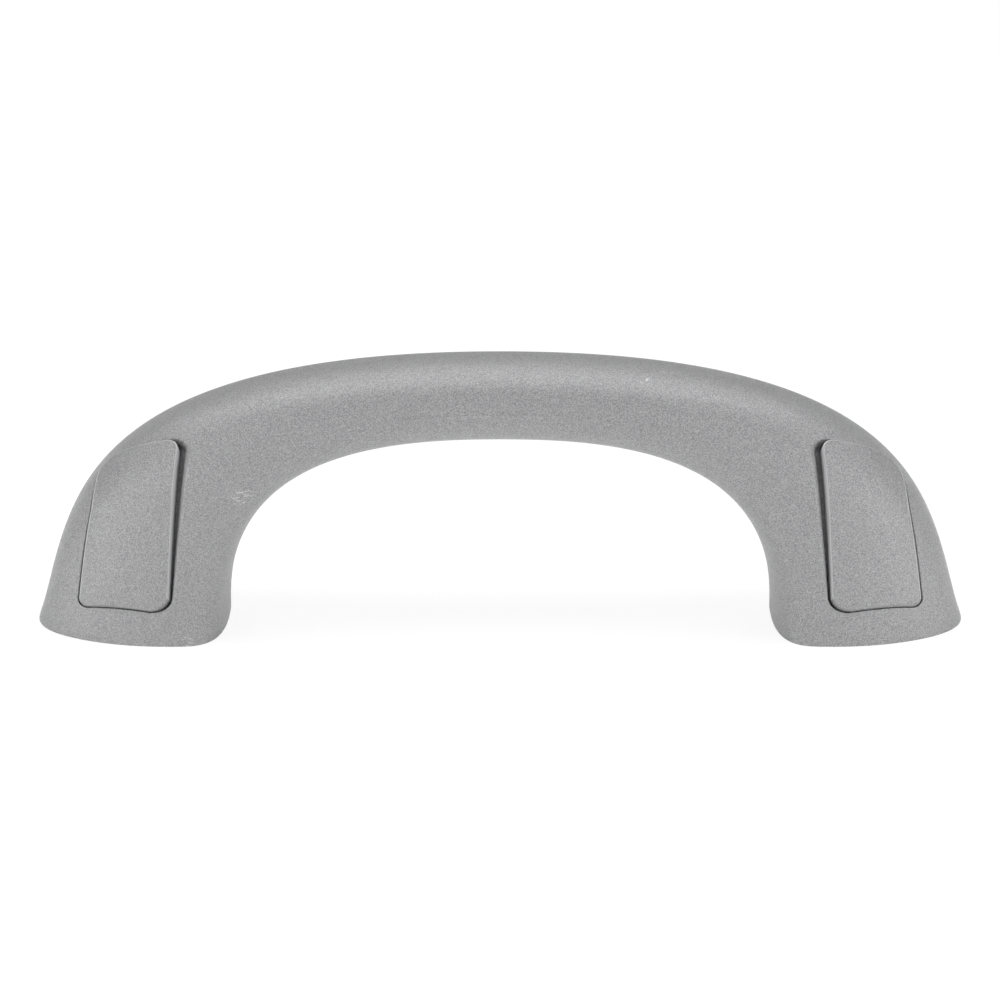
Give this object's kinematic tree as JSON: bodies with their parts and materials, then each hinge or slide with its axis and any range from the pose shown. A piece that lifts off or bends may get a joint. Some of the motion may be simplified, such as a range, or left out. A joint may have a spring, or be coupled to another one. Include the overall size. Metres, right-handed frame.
{
  "type": "roof grab handle",
  "caption": "Arched moulded roof grab handle for a vehicle cabin, with a flip cover over the fixing screw in each foot.",
  "frame": {"origin": "midpoint between the two fixing holes, on the mounting face", "axes": "+X along the handle, -Y towards the front with the covers, +Z from the mounting face to the grip"},
  "size_m": [0.23, 0.0335, 0.0679],
  "materials": {
    "grained_pp": "satin",
    "cover_pp": "satin",
    "zinc_steel": "satin"
  },
  "bodies": {
    "handle": {"handle_body": "grained_pp", "left_fixing_sleeve": "zinc_steel", "right_fixing_sleeve": "zinc_steel"},
    "left_cover": {"left_screw_cover": "cover_pp"},
    "right_cover": {"right_screw_cover": "cover_pp"}
  },
  "joints": [
    {"name": "left_cover_hinge", "type": "hinge", "parent": "handle", "child": "left_cover", "pos_m": [-0.09125, -0.00219, 0.0149], "axis": [0.982, -0.1891, 0], "range_deg": [0, 90]},
    {"name": "right_cover_hinge", "type": "hinge", "parent": "handle", "child": "right_cover", "pos_m": [0.09125, -0.00219, 0.0149], "axis": [0.982, 0.1891, 0], "range_deg": [0, 90]}
  ]
}
